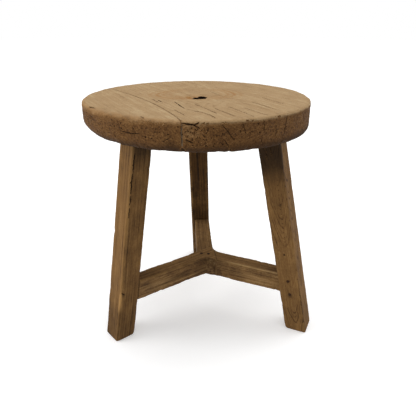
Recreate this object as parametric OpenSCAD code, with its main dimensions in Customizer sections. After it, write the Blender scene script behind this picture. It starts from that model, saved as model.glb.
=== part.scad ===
/* [Seat] */
// Diameter of the round seat
seat_d = 330; // [316:2:344]
// Thickness of the seat boards
seat_t = 40; // [36:1:46]
// Height of the seat's top face above the floor
seat_h = 358; // [340:1:380]
// Radius worn round the seat's top edge
top_edge_r = 3; // [2:0.5:9]
// Radius worn round the seat's bottom edge
bottom_edge_r = 6; // [3:0.5:14]
// Seat centre, to the right of the stretcher's centre
seat_dx = -12; // [-16:0.5:0]
// Seat centre, behind the stretcher's centre
seat_dy = 1.5; // [-6:0.5:6]

/* [Joint between the two seat boards] */
// Distance from the seat's centre to the joint
seam_offset = 78; // [72:1:82]
// Radius of the joint's slight curve
seam_r = 680; // [560:20:1200]
// Direction from the seat's centre to the joint
seam_az = 203; // [198:1:208]
// Diameter of the dowels that cross the joint
dowel_d = 10; // [6:1:14]
// Length of the dowels that cross the joint
dowel_len = 60; // [40:2:66]

/* [Knot hole in the seat] */
// Length of the knot hole, left to right
knot_len = 20; // [14:1:26]
// Width of the knot hole, front to back
knot_w = 13; // [6:1:13]
// Depth of the knot hole
knot_depth = 24; // [10:1:32]

/* [Legs: left, right, back] */
// Distance of each foot's centre from the stretcher's centre
leg_foot_r = [165, 169.5, 167]; // [160:0.5:175]
// Distance of each leg's centre from the stretcher's centre, under the seat
leg_top_r = [112.5, 103, 108]; // [100:0.5:115]
// Sideways shift of each foot, anticlockwise
leg_foot_side = [-3.5, -4, -8.5]; // [-9:0.5:5]
// Sideways shift of each leg under the seat, anticlockwise
leg_top_side = [-4.5, -3, 4]; // [-6:0.5:6]
// Width of each leg, seen from outside
leg_w = [34, 36.5, 33.5]; // [30:0.5:38]
// Depth of each leg, from its outer to its inner face
leg_d = [32.5, 33, 32.5]; // [30:0.5:36]
// Turn of each leg about its own length
leg_turn = [4, 0, -0.5]; // [-5:0.5:5]
// Radius of the legs' long edges
leg_edge_r = 2.5; // [1:0.5:5]

/* [Leg tenons in the seat] */
// Tenon width, seen from outside
tenon_w = 22; // [18:1:24]
// Tenon depth, towards the seat's centre
tenon_d = 20; // [16:1:22]
// How far the tenons reach into the seat
tenon_len = 28; // [20:1:29]
// Length of the hidden wedge in each tenon
wedge_len = 20; // [12:1:22]
// Thickness of the hidden wedge at its thick end
wedge_t = 5; // [3:0.5:7]

/* [Stretcher: left, right, back arm] */
// Height of the stretcher's underside above the floor
arm_z = 61; // [50:1:80]
// Height of the arms
arm_h = 33; // [30:1:38]
// Width of each arm, seen from above
arm_w = [24.5, 25, 28]; // [23:0.5:29]
// Radius of the hollow between the back and right arms
hub_hollow_r = 22; // [16:1:36]
// Thickness of the stub tenons in the legs
stub_w = 10; // [8:0.5:12]
// How far the stub tenons reach into the legs
stub_len = 23; // [21:0.5:25]

/* [Pegs] */
// Diameter of the pegs
peg_d = 4.4; // [3:0.2:5]
// Length of the pegs
peg_len = 26; // [22:1:28]
// Height of the lower and upper peg in each leg, above the stretcher's underside
peg_rise = [5, 28]; // [4:0.5:29]

/* [Hidden] */
$fn = 96;

LEFT = 0;
RIGHT = 1;
BACK = 2;
LOWER = 0;
UPPER = 1;

// Directions of the legs and of the stretcher's arms, from the stretcher's centre
leg_az = [210, 330, 90];
arm_az = [210, 330, 87];

seat_r = seat_d / 2;
shoulder_z = seat_h - seat_t;
arm_mid_z = arm_z + arm_h / 2;
// Longer than any part of the stool, for cutting
far = 500;
// Room left past the end of a blind tenon or dowel
end_gap = 2;
// How deep a tenon starts inside its own timber
root = 12;

// Places of the front, middle and back dowels along the joint, clear of the left leg's mortise
dowel_at = [85, -20, -75];
seam_dir = [cos(seam_az), sin(seam_az)];
seam_along = [-sin(seam_az), cos(seam_az)];
seam_fn = 240;

// The knot hole's centre, from the seat's centre
knot_at = [3.5, -7];

// The left arm carries the hub, as far as this distance to the right of its centre
hub_shoulder_x = 17;
// Height of the tenons that hold the back and right arms in the hub
hub_tenon_h = 19;
hub_tenon_w = 8;
// Each hub tenon: inner end along its arm, and near side across it
hub_tenon_right = [2, -4];
hub_tenon_back = [-7, 3];
// The pegs through the two hub tenons, from the stretcher's centre: back arm's, right arm's
hub_peg_at = [[-6.4, -1], [5.2, -4]];

// Anticlockwise turn of a point about the stretcher's centre
function turned(p, a) = [p.x * cos(a) - p.y * sin(a), p.x * sin(a) + p.y * cos(a)];

// A leg's run from its foot to the seat, in its own direction: outward, sideways, up
function leg_run(i) = [leg_top_r[i] - leg_foot_r[i], leg_top_side[i] - leg_foot_side[i], shoulder_z];
function leg_len(i) = norm(leg_run(i));
function leg_lean(i) = atan2(leg_run(i).x, leg_run(i).z);
function leg_side_lean(i) = -asin(leg_run(i).y / leg_len(i));

// Distance of a leg's inner face from the stretcher's centre, at the arms' middle height
function inner_face_r(i) =
    leg_foot_r[i] + leg_run(i).x * arm_mid_z / shoulder_z - leg_d[i] / 2 / cos(leg_lean(i));

// Corners of the feet and the seat's rim give the stool's outline, whose centre is the origin
foot_corners = [
    for (i = [LEFT, RIGHT, BACK], sx = [-1, 1], sy = [-1, 1])
        turned(
            [leg_foot_r[i], leg_foot_side[i]]
            + turned([sx * leg_d[i] / 2 / cos(leg_lean(i)), sy * leg_w[i] / 2], leg_turn[i]),
            leg_az[i]
        )
];
outline_right = max(seat_dx + seat_r, max([for (p = foot_corners) p.x]));
outline_left = min(seat_dx - seat_r, min([for (p = foot_corners) p.x]));
outline_back = max(seat_dy + seat_r, max([for (p = foot_corners) p.y]));
outline_front = min(seat_dy - seat_r, min([for (p = foot_corners) p.y]));
hub = [-(outline_right + outline_left) / 2, -(outline_back + outline_front) / 2];

// Everything is drawn about the stretcher's centre and moved to its place by this
module in_place() {
    translate([hub.x, hub.y, 0])
        children();
}

// A leg's own frame: origin at the foot's centre, +Z up the leg, +X to its outer face
module at_leg(i) {
    rotate(leg_az[i])
        translate([leg_foot_r[i], leg_foot_side[i], 0])
            rotate([leg_side_lean(i), leg_lean(i), 0])
                rotate(leg_turn[i])
                    children();
}

// Half of the plan, up to distance d from the centre in direction a
module half_plan(a, d) {
    rotate(a)
        translate([d - far, -far])
            square([far, 2 * far]);
}

module rounded_square(size, r) {
    square([size.x - 2 * r, size.y], center = true);
    square([size.x, size.y - 2 * r], center = true);
    for (x = [-1, 1], y = [-1, 1])
        translate([x * (size.x / 2 - r), y * (size.y / 2 - r)])
            circle(r, $fn = 32);
}

// ---- Seat ----

module at_seat() {
    translate([seat_dx, seat_dy, shoulder_z])
        children();
}

module seat_profile() {
    square([seat_r - bottom_edge_r, seat_t - top_edge_r]);
    square([seat_r - max(top_edge_r, bottom_edge_r), seat_t]);
    translate([0, seat_t / 2])
        square([seat_r - top_edge_r, seat_t / 2]);
    translate([0, bottom_edge_r])
        square([seat_r, seat_t - bottom_edge_r - top_edge_r]);
    translate([seat_r - top_edge_r, seat_t - top_edge_r])
        circle(top_edge_r);
    translate([seat_r - bottom_edge_r, bottom_edge_r])
        circle(bottom_edge_r);
}

module seat_disc() {
    at_seat()
        rotate_extrude()
            seat_profile();
}

// The side board lies inside this cylinder and the main board outside it
module seam_cylinder() {
    at_seat()
        translate([seam_dir.x, seam_dir.y, 0] * (seam_offset + seam_r))
            translate([0, 0, -seat_t])
                cylinder(r = seam_r, h = 3 * seat_t, $fn = seam_fn);
}

// A dowel's distance from the seat's centre, where the curved joint crosses it
function seam_at(s) = seam_offset + seam_r - sqrt(seam_r * seam_r - s * s);

module seat_dowel_body(k, length) {
    s = dowel_at[k];
    centre = seam_dir * seam_at(s) + seam_along * s;
    at_seat()
        translate([centre.x, centre.y, seat_t / 2])
            rotate([0, 90, seam_az])
                cylinder(d = dowel_d, h = length, center = true);
}

module dowel_holes() {
    for (k = [0, 1, 2])
        seat_dowel_body(k, dowel_len + end_gap);
}

module knot_hole() {
    at_seat()
        translate([knot_at.x, knot_at.y, seat_t - knot_depth])
            linear_extrude(knot_depth + 1) {
                square([knot_len - knot_w, knot_w], center = true);
                for (x = [-1, 1])
                    translate([x * (knot_len - knot_w) / 2, 0])
                        circle(d = knot_w);
            }
}

module seat_main_board() {
    color("#b3966e")
        in_place()
            difference() {
                seat_disc();
                seam_cylinder();
                dowel_holes();
                knot_hole();
                leg_tenon(RIGHT, tenon_len + end_gap);
                leg_tenon(BACK, tenon_len + end_gap);
            }
}

module seat_side_board() {
    color("#a88658")
        in_place()
            difference() {
                intersection() {
                    seat_disc();
                    seam_cylinder();
                }
                dowel_holes();
                leg_tenon(LEFT, tenon_len + end_gap);
            }
}

module seat_dowel(k) {
    color("#9a7b50")
        in_place()
            seat_dowel_body(k, dowel_len);
}

// ---- Legs ----

// The leg's timber, cut level on the floor and under the seat
module leg_timber(i) {
    intersection() {
        at_leg(i)
            translate([0, 0, -root * 2])
                linear_extrude(leg_len(i) + root * 4)
                    rounded_square([leg_d[i], leg_w[i]], leg_edge_r);
        translate([-far, -far, 0])
            cube([2 * far, 2 * far, shoulder_z]);
    }
}

module leg_tenon(i, length) {
    at_leg(i)
        translate([-tenon_d / 2, -tenon_w / 2, leg_len(i) - root])
            cube([tenon_d, tenon_w, root + length]);
}

// The wedge stands with its thick end on the bottom of the mortise
module leg_wedge_body(i) {
    tip = 0.6;
    at_leg(i)
        translate([0, tenon_w / 2, leg_len(i) + tenon_len + end_gap - wedge_len])
            rotate([90, 0, 0])
                linear_extrude(tenon_w)
                    polygon([
                        [-tip, 0], [tip, 0],
                        [wedge_t / 2, wedge_len], [-wedge_t / 2, wedge_len]
                    ]);
}

// Pegs go in from the leg's clockwise side, through the stub tenon
module leg_peg_body(i, level) {
    height = (arm_z + peg_rise[level]) / cos(leg_lean(i));
    at_leg(i)
        translate([0, -leg_w[i] / 2, height])
            rotate([-90, 0, 0])
                cylinder(d = peg_d, h = peg_len, $fn = 32);
}

module leg(i) {
    color("#7a5c3a")
        in_place()
            difference() {
                union() {
                    leg_timber(i);
                    leg_tenon(i, tenon_len);
                }
                leg_wedge_body(i);
                stub_tenon(i, end_gap / 2);
                leg_peg_body(i, LOWER);
                leg_peg_body(i, UPPER);
            }
}

module leg_wedge(i) {
    color("#8d6f47")
        in_place()
            leg_wedge_body(i);
}

module leg_peg(i, level) {
    color("#4a3220")
        in_place()
            leg_peg_body(i, level);
}

// ---- Stretcher ----

module stub_tenon(i, gap) {
    end = inner_face_r(i) + stub_len + gap;
    start = inner_face_r(i) - 2 * root;
    rotate(arm_az[i])
        translate([start, -stub_w / 2, arm_z])
            cube([end - start, stub_w, arm_h]);
}

module arm_plan(i) {
    rotate(arm_az[i])
        translate([0, -arm_w[i] / 2])
            square([leg_foot_r[i], arm_w[i]]);
}

// Point where the facing edges of the right and back arms cross
hollow_open = arm_az[BACK] - (arm_az[RIGHT] - 360);
hollow_corner = turned(
    [(arm_w[RIGHT] / 2 * cos(hollow_open) + arm_w[BACK] / 2) / sin(hollow_open), arm_w[RIGHT] / 2],
    arm_az[RIGHT]
);

// The rounded hollow that blends the right arm into the back arm
module hub_hollow_plan() {
    reach = hub_hollow_r / tan(hollow_open / 2);
    along_right = turned([reach, 0], arm_az[RIGHT]);
    along_back = turned([reach, 0], arm_az[BACK]);
    centre = turned([reach, hub_hollow_r], arm_az[RIGHT]);
    // The patch starts this far inside the timber
    overlap = 1;
    translate(hollow_corner)
        difference() {
            polygon([[-overlap, -overlap], along_right, centre, along_back]);
            translate(centre)
                circle(hub_hollow_r);
        }
}

// The back arm's shoulder stands on the left arm's far edge, carried on across the hub
module up_to_back_shoulder() {
    half_plan(arm_az[LEFT] - 90, arm_w[LEFT] / 2);
}

module left_arm_plan() {
    intersection() {
        union() {
            for (i = [LEFT, RIGHT, BACK])
                arm_plan(i);
            hub_hollow_plan();
        }
        up_to_back_shoulder();
        half_plan(0, hub_shoulder_x);
    }
}

module right_arm_plan() {
    difference() {
        union() {
            arm_plan(RIGHT);
            hub_hollow_plan();
        }
        half_plan(0, hub_shoulder_x);
    }
}

module back_arm_plan() {
    difference() {
        arm_plan(BACK);
        up_to_back_shoulder();
    }
}

// An arm's timber, from the hub to the leg's inner face
module arm_timber(i) {
    difference() {
        translate([0, 0, arm_z])
            linear_extrude(arm_h)
                children();
        at_leg(i)
            translate([-leg_d[i] / 2, -far / 2, -root])
                cube([far, far, far]);
    }
    stub_tenon(i, 0);
}

module hub_tenon(i, place, gap) {
    inner = place[0] - gap;
    length = hub_shoulder_x + root - inner;
    rotate(arm_az[i])
        translate([inner, place[1], arm_mid_z - hub_tenon_h / 2])
            cube([length, hub_tenon_w, hub_tenon_h]);
}

module hub_peg_body(k) {
    translate([hub_peg_at[k].x, hub_peg_at[k].y, arm_z + arm_h - peg_len])
        cylinder(d = peg_d, h = peg_len, $fn = 32);
}

module stretcher_left_arm() {
    color("#7d6040")
        in_place()
            difference() {
                arm_timber(LEFT)
                    left_arm_plan();
                hub_tenon(RIGHT, hub_tenon_right, end_gap / 2);
                hub_tenon(BACK, hub_tenon_back, end_gap / 2);
                hub_peg_body(0);
                hub_peg_body(1);
                leg_peg_body(LEFT, LOWER);
                leg_peg_body(LEFT, UPPER);
            }
}

module stretcher_right_arm() {
    color("#85653f")
        in_place()
            difference() {
                union() {
                    arm_timber(RIGHT)
                        right_arm_plan();
                    hub_tenon(RIGHT, hub_tenon_right, 0);
                }
                hub_peg_body(1);
                leg_peg_body(RIGHT, LOWER);
                leg_peg_body(RIGHT, UPPER);
            }
}

module stretcher_back_arm() {
    color("#745737")
        in_place()
            difference() {
                union() {
                    arm_timber(BACK)
                        back_arm_plan();
                    hub_tenon(BACK, hub_tenon_back, 0);
                }
                hub_peg_body(0);
                leg_peg_body(BACK, LOWER);
                leg_peg_body(BACK, UPPER);
            }
}

module hub_peg(k) {
    color("#4a3220")
        in_place()
            hub_peg_body(k);
}

seat_main_board();
seat_side_board();
seat_dowel(0);  // seat_dowel_front
seat_dowel(1);  // seat_dowel_middle
seat_dowel(2);  // seat_dowel_back
leg(LEFT);  // leg_left
leg(RIGHT);  // leg_right
leg(BACK);  // leg_back
leg_wedge(LEFT);  // leg_wedge_left
leg_wedge(RIGHT);  // leg_wedge_right
leg_wedge(BACK);  // leg_wedge_back
stretcher_left_arm();
stretcher_right_arm();
stretcher_back_arm();
leg_peg(LEFT, LOWER);  // leg_peg_left_lower
leg_peg(LEFT, UPPER);  // leg_peg_left_upper
leg_peg(RIGHT, LOWER);  // leg_peg_right_lower
leg_peg(RIGHT, UPPER);  // leg_peg_right_upper
leg_peg(BACK, LOWER);  // leg_peg_back_lower
leg_peg(BACK, UPPER);  // leg_peg_back_upper
hub_peg(0);  // hub_peg_left
hub_peg(1);  // hub_peg_right
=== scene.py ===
import math

import bmesh
import bpy
import numpy as np
from mathutils import Matrix, Vector


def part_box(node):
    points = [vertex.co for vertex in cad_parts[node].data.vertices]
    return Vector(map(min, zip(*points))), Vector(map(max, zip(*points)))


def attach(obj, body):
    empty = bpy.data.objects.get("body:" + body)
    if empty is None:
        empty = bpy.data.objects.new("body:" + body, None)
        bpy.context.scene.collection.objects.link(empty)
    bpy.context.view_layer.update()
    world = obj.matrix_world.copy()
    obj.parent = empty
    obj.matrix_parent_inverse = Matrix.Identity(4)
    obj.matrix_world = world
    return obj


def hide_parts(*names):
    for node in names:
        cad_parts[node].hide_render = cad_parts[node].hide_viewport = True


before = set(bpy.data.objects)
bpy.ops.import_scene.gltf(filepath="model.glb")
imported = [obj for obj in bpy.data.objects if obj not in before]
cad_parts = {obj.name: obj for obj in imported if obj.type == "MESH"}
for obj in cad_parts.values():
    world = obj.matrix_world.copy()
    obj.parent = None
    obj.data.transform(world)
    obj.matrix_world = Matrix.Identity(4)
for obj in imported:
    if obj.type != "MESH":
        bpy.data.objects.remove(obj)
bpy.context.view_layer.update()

# Shapes are worked out in millimetres in the part's frame, and become metres when a mesh is made.
MM = 0.001


# ---- Places taken from the frame ----

def node_box(node):
    """A CAD node's lowest and highest corners, in millimetres."""
    lo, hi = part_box(node)
    return np.array(lo) / MM, np.array(hi) / MM


side_lo = node_box("seat_side_board")[0]
main_lo, main_hi = node_box("seat_main_board")
arm_lo, arm_hi = node_box("stretcher_left_arm")

SEAT_R = (main_hi[0] - side_lo[0]) / 2
SEAT_X = (main_hi[0] + side_lo[0]) / 2
SEAT_Y = (main_hi[1] + main_lo[1]) / 2
SEAT_TOP = main_hi[2]
SEAT_LOW = main_lo[2]
SEAT_CENTRE = np.array([SEAT_X, SEAT_Y])
# The stretcher's centre lies this far from the seat's
HUB_X = SEAT_X + 12
HUB_Y = SEAT_Y - 1.5
HUB_CENTRE = np.array([HUB_X, HUB_Y])
ARM_LOW = arm_lo[2]
ARM_TOP = arm_hi[2]


def heading(azimuth):
    """The direction in plan of an azimuth in degrees."""
    a = math.radians(azimuth)
    return np.array([math.cos(a), math.sin(a)])


def quarter_turn(direction):
    return np.array([-direction[1], direction[0]])


# The joint between the boards is an arc: its direction from the seat's centre, distance and radius
SEAM_HEADING = heading(203)
SEAM_OFFSET = 78
SEAM_R = 680
KNOT = SEAT_CENTRE + (3.5, -7)
# Direction of the seat's grain, and across it
GRAIN = heading(112)
ACROSS = -quarter_turn(GRAIN)

# Each leg: direction, distance out at the foot and under the seat, sideways shift at both, width, depth, turn
LEGS = {
    "left": dict(az=210, foot=165, top=112.5, foot_side=-3.5, top_side=-4.5, w=34, d=32.5, turn=4),
    "right": dict(az=330, foot=169.5, top=103, foot_side=-4, top_side=-3, w=36.5, d=33, turn=0),
    "back": dict(az=90, foot=167, top=108, foot_side=-8.5, top_side=4, w=33.5, d=32.5, turn=-0.5),
}
# Each arm: direction and width
ARMS = {
    "left": dict(az=210, w=24.5),
    "right": dict(az=330, w=25),
    "back": dict(az=87, w=28),
}
# The right arm's shoulder line on the hub, in X from the stretcher's centre
HUB_SHOULDER = 17
# Worn surfaces lie at least this far inside the sizes above
SKIN = 0.06


def leg_matrix(leg):
    """From a leg's own frame (origin at the foot, X outward, Z up the leg) to the part's frame."""
    run = Vector((leg["top"] - leg["foot"], leg["top_side"] - leg["foot_side"], SEAT_LOW))
    lean = math.atan2(run.x, run.z)
    side_lean = -math.asin(run.y / run.length)
    return (
        Matrix.Translation((HUB_X, HUB_Y, 0))
        @ Matrix.Rotation(math.radians(leg["az"]), 4, "Z")
        @ Matrix.Translation((leg["foot"], leg["foot_side"], 0))
        @ Matrix.Rotation(lean, 4, "Y")
        @ Matrix.Rotation(side_lean, 4, "X")
        @ Matrix.Rotation(math.radians(leg["turn"]), 4, "Z")
    )


# ---- Fields: distance to a surface, negative inside ----

def ripple(points, size, seed, waves=10):
    """A smooth random field, mostly within -1.5 to 1.5, whose bumps are about `size` across."""
    rng = np.random.default_rng(seed)
    scaled = points / np.asarray(size, float)
    total = np.zeros(len(points))
    for _ in range(waves):
        direction = rng.normal(size=points.shape[1])
        direction *= 2 * math.pi * rng.uniform(0.6, 1.4) / np.linalg.norm(direction)
        total += np.sin(scaled @ direction + rng.uniform(0, 2 * math.pi))
    return total * math.sqrt(2 / waves)


def smooth(values, start, end):
    """0 before start, 1 past end, and a smooth step between."""
    t = np.clip((values - start) / (end - start), 0, 1)
    return t * t * (3 - 2 * t)


def rounded(a, b, radius):
    """Distance to the shape inside both a and b, with the edge between them rounded."""
    qa, qb = a + radius, b + radius
    outside = np.hypot(np.maximum(qa, 0), np.maximum(qb, 0))
    return np.minimum(np.maximum(qa, qb), 0) + outside - radius


def slab(side, z, low, top, low_round, top_round, split):
    """Distance to a flat shape whose side is given, with its lower and upper edges rounded."""
    upper = rounded(side, z - top, top_round)
    lower = rounded(side, low - z, low_round)
    return np.where(z > split, upper, lower)


def blob(points, centre, size):
    """A soft bump, 1 at the centre."""
    return np.exp(-(((points - np.asarray(centre)) / np.asarray(size, float)) ** 2).sum(1))


def gradient(field, points, reach=0.3):
    columns = []
    for axis in range(3):
        step = np.zeros(3)
        step[axis] = reach
        columns.append((field(points + step) - field(points - step)) / (2 * reach))
    return np.stack(columns, 1)


def contour(field, lo, hi, step):
    """Points and quads of the surface where a field crosses zero, by surface nets."""
    axes = [np.arange(lo[i], hi[i] + step, step) for i in range(3)]
    shape = tuple(len(a) for a in axes)
    grid = np.stack(np.meshgrid(*axes, indexing="ij"), -1).reshape(-1, 3)
    values = np.concatenate([field(part) for part in np.array_split(grid, 12)]).reshape(shape)
    inside = values < 0
    ends = (slice(0, -1), slice(1, None))
    corners = list(np.ndindex(2, 2, 2))
    count = sum(inside[tuple(ends[i] for i in c)].astype(int) for c in corners)
    mixed = (count > 0) & (count < 8)
    number = np.full(mixed.shape, -1)
    number[mixed] = np.arange(mixed.sum())
    cells = np.argwhere(mixed)
    total, hits = np.zeros((len(cells), 3)), np.zeros(len(cells))
    for axis in range(3):
        along = np.eye(3, dtype=int)[axis]
        for c in corners:
            if c[axis]:
                continue
            a, b = cells + c, cells + c + along
            va, vb = values[tuple(a.T)], values[tuple(b.T)]
            crossed = (va < 0) != (vb < 0)
            t = np.where(crossed, va / np.where(crossed, va - vb, 1), 0)
            total += crossed[:, None] * (a + t[:, None] * along)
            hits += crossed
    points = np.asarray(lo, float) + step * total / hits[:, None]
    quads = []
    for axis in range(3):
        b, c = np.eye(3, dtype=int)[(axis + 1) % 3], np.eye(3, dtype=int)[(axis + 2) % 3]
        low, high = [slice(1, -1)] * 3, [slice(1, -1)] * 3
        low[axis], high[axis] = ends
        first, second = inside[tuple(low)], inside[tuple(high)]
        places = np.argwhere(first != second) + 1
        places[:, axis] -= 1
        ring = [places - b - c, places - c, places, places - b]
        quad = np.stack([number[tuple(r.T)] for r in ring], 1)
        leaving = first[first != second]
        quads.append(np.where(leaving[:, None], quad, quad[:, ::-1]))
    return points, np.concatenate(quads)


def worn_surface(field, relief, lo, hi, step):
    """The field's surface, with relief(points, normals) millimetres taken off it.
    Returns points, normals, quads and how much each point lies on a convex edge."""
    points, quads = contour(field, lo, hi, step)
    for _ in range(3):
        slope = gradient(field, points)
        steep = np.maximum((slope ** 2).sum(1), 0.05)
        points = points - (np.clip(field(points), -step, step) / steep)[:, None] * slope
    normals = gradient(field, points)
    normals /= np.linalg.norm(normals, axis=1)[:, None]
    probe = 4
    edge = np.clip((field(points - probe * normals) + probe) / 1.5, 0, 1)
    points = points - normals * np.maximum(relief(points, normals), 0)[:, None]
    return points, normals, quads, edge


# ---- Meshes and cutting ----

# Points this close are one point, in metres
WELD = 1e-6
# Cutters stand this far out of the surface, in millimetres
PROUD = 1.5
# Edges sharper than this stay sharp when a mesh is shaded
SHARP = math.radians(38)


def add_object(name, data):
    obj = bpy.data.objects.new(name, data)
    bpy.context.scene.collection.objects.link(obj)
    return obj


def make_object(name, points, faces, material, masks=None, matrix=None):
    """A mesh object from points in millimetres, with optional per-point masks and a placing matrix."""
    points = np.asarray(points, float)
    if matrix is not None:
        m = np.array(matrix)
        points = points @ m[:3, :3].T + m[:3, 3]
    mesh = bpy.data.meshes.new(name)
    mesh.from_pydata((points * MM).tolist(), [], [list(map(int, f)) for f in faces])
    mesh.validate()
    for key, values in (masks or {}).items():
        layer = mesh.attributes.new(key, "FLOAT", "POINT")
        layer.data.foreach_set("value", np.asarray(values, np.float32))
    mesh.materials.append(material)
    return add_object(name, mesh)


def cad_copy(node, material):
    """A CAD node's shape as a closed mesh, to cut with."""
    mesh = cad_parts[node].data.copy()
    bm = bmesh.new()
    bm.from_mesh(mesh)
    bmesh.ops.remove_doubles(bm, verts=bm.verts, dist=WELD)
    bm.to_mesh(mesh)
    bm.free()
    mesh.materials.clear()
    mesh.materials.append(material)
    return add_object(node + "_cut", mesh)


def combine(target, other, operation):
    """Cuts or joins another object into the target's mesh and deletes it."""
    modifier = target.modifiers.new("cut", "BOOLEAN")
    modifier.operation = operation
    modifier.solver = "MANIFOLD"
    modifier.material_mode = "TRANSFER"
    modifier.object = other
    graph = bpy.context.evaluated_depsgraph_get()
    result = bpy.data.meshes.new_from_object(target.evaluated_get(graph), depsgraph=graph)
    target.modifiers.clear()
    old, target.data = target.data, result
    bpy.data.meshes.remove(old)
    unwanted = other.data
    bpy.data.objects.remove(other)
    bpy.data.meshes.remove(unwanted)
    if not target.data.polygons:
        raise ValueError("cutting " + target.name + " left nothing")


def shade(obj):
    obj.data.shade_smooth()
    obj.data.set_sharp_from_angle(angle=SHARP)


def tube(rings):
    """Points and faces of a closed shape through rings that have the same number of points."""
    count = len(rings[0])
    points = np.concatenate(rings)
    faces = []
    for i in range(len(rings) - 1):
        for j in range(count):
            k = (j + 1) % count
            faces.append([i * count + j, i * count + k, (i + 1) * count + k, (i + 1) * count + j])
    faces.append(list(range(count))[::-1])
    faces.append([(len(rings) - 1) * count + j for j in range(count)])
    return points, faces


def resample(path, spacing):
    path = np.asarray(path, float)
    lengths = np.r_[0, np.cumsum(np.linalg.norm(np.diff(path, axis=0), axis=1))]
    count = max(4, int(lengths[-1] / spacing) + 1)
    at = np.linspace(0, lengths[-1], count)
    return np.stack([np.interp(at, lengths, path[:, i]) for i in range(path.shape[1])], 1)


def crack_shape(path, normal_of, width, depth, seed, spacing=1.4, wander=0.35, blunt=0.15):
    """A jagged wedge that follows a path on a surface. normal_of(points) gives the outward directions."""
    rng = np.random.default_rng(seed)
    centre = resample(path, spacing)
    normals = normal_of(centre)
    tangent = np.gradient(centre, axis=0)
    tangent /= np.linalg.norm(tangent, axis=1)[:, None]
    sideways = np.cross(normals, tangent)
    count = len(centre)
    taper = np.sin(np.linspace(0, math.pi, count)) ** 0.6
    taper = blunt + (1 - blunt) * taper
    centre = centre + sideways * (rng.normal(size=count) * wander * taper)[:, None]
    half = (0.5 * width * taper * rng.uniform(0.65, 1.25, count))[:, None]
    down = (depth * taper * rng.uniform(0.7, 1.15, count))[:, None]
    section = ((PROUD, half), (0, half), (-down, 0), (0, -half), (PROUD, -half))
    return tube(np.stack([centre + out * normals + aside * sideways for out, aside in section], 1))


# A direction that no pit's normal shares
ASKEW = [0.3, 0.5, 0.81]


def pit_shape(centre, normal, radius, depth, seed, sides=10):
    """A small ragged hole."""
    rng = np.random.default_rng(seed)
    normal = np.asarray(normal, float) / np.linalg.norm(normal)
    u = np.cross(normal, ASKEW)
    u /= np.linalg.norm(u)
    v = np.cross(normal, u)
    turn = np.linspace(0, 2 * math.pi, sides, endpoint=False)
    ragged = rng.uniform(0.8, 1.2, sides)
    rings = []
    for height, scale in ((PROUD, 1.1), (0, 1), (-0.5 * depth, 0.8), (-depth, 0.45)):
        r = radius * scale * ragged
        circle = np.cos(turn)[:, None] * u * r[:, None] + np.sin(turn)[:, None] * v * r[:, None]
        rings.append(np.asarray(centre) + height * normal + circle)
    return tube(rings[::-1])


def closed_object(name, shapes, material, matrix=None):
    """One object from several closed shapes of points and faces, all facing outward."""
    points, faces, count = [], [], 0
    for shape_points, shape_faces in shapes:
        points.append(shape_points)
        faces += [[i + count for i in face] for face in shape_faces]
        count += len(shape_points)
    obj = make_object(name, np.concatenate(points), faces, material, matrix=matrix)
    bm = bmesh.new()
    bm.from_mesh(obj.data)
    bmesh.ops.triangulate(bm, faces=bm.faces)
    bmesh.ops.recalc_face_normals(bm, faces=bm.faces)
    bm.to_mesh(obj.data)
    bm.free()
    return obj


def cut_with(target, shapes, material, matrix=None):
    """Takes shapes that don't touch each other off a piece."""
    combine(target, closed_object("cutter", shapes, material, matrix), "DIFFERENCE")


def cut_in_turns(target, shapes, material, matrix=None):
    """Takes off shapes whose neighbours in the list may touch, every other one first."""
    for group in (shapes[0::2], shapes[1::2]):
        if group:
            cut_with(target, group, material, matrix)


def flat_normals(direction):
    """The same outward direction for every point."""
    direction = np.asarray(direction, float) / np.linalg.norm(direction)
    return lambda points: np.tile(direction, (len(points), 1))


UPWARD = flat_normals((0, 0, 1))


# ---- Materials ----

# A bump's full height, in metres
BUMP_DEPTH = 0.0006
# Old wood hardly shines
SPECULAR = 0.1


class Value:
    """An output of a material's node. Arithmetic on it adds the nodes that work it out."""

    def __init__(self, shader, socket):
        self.shader = shader
        self.socket = socket

    def __add__(self, other):
        return self.shader.math("ADD", self, other)

    def __sub__(self, other):
        return self.shader.math("SUBTRACT", self, other)

    def __mul__(self, other):
        return self.shader.math("MULTIPLY", self, other)

    def __truediv__(self, other):
        return self.shader.math("DIVIDE", self, other)


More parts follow.
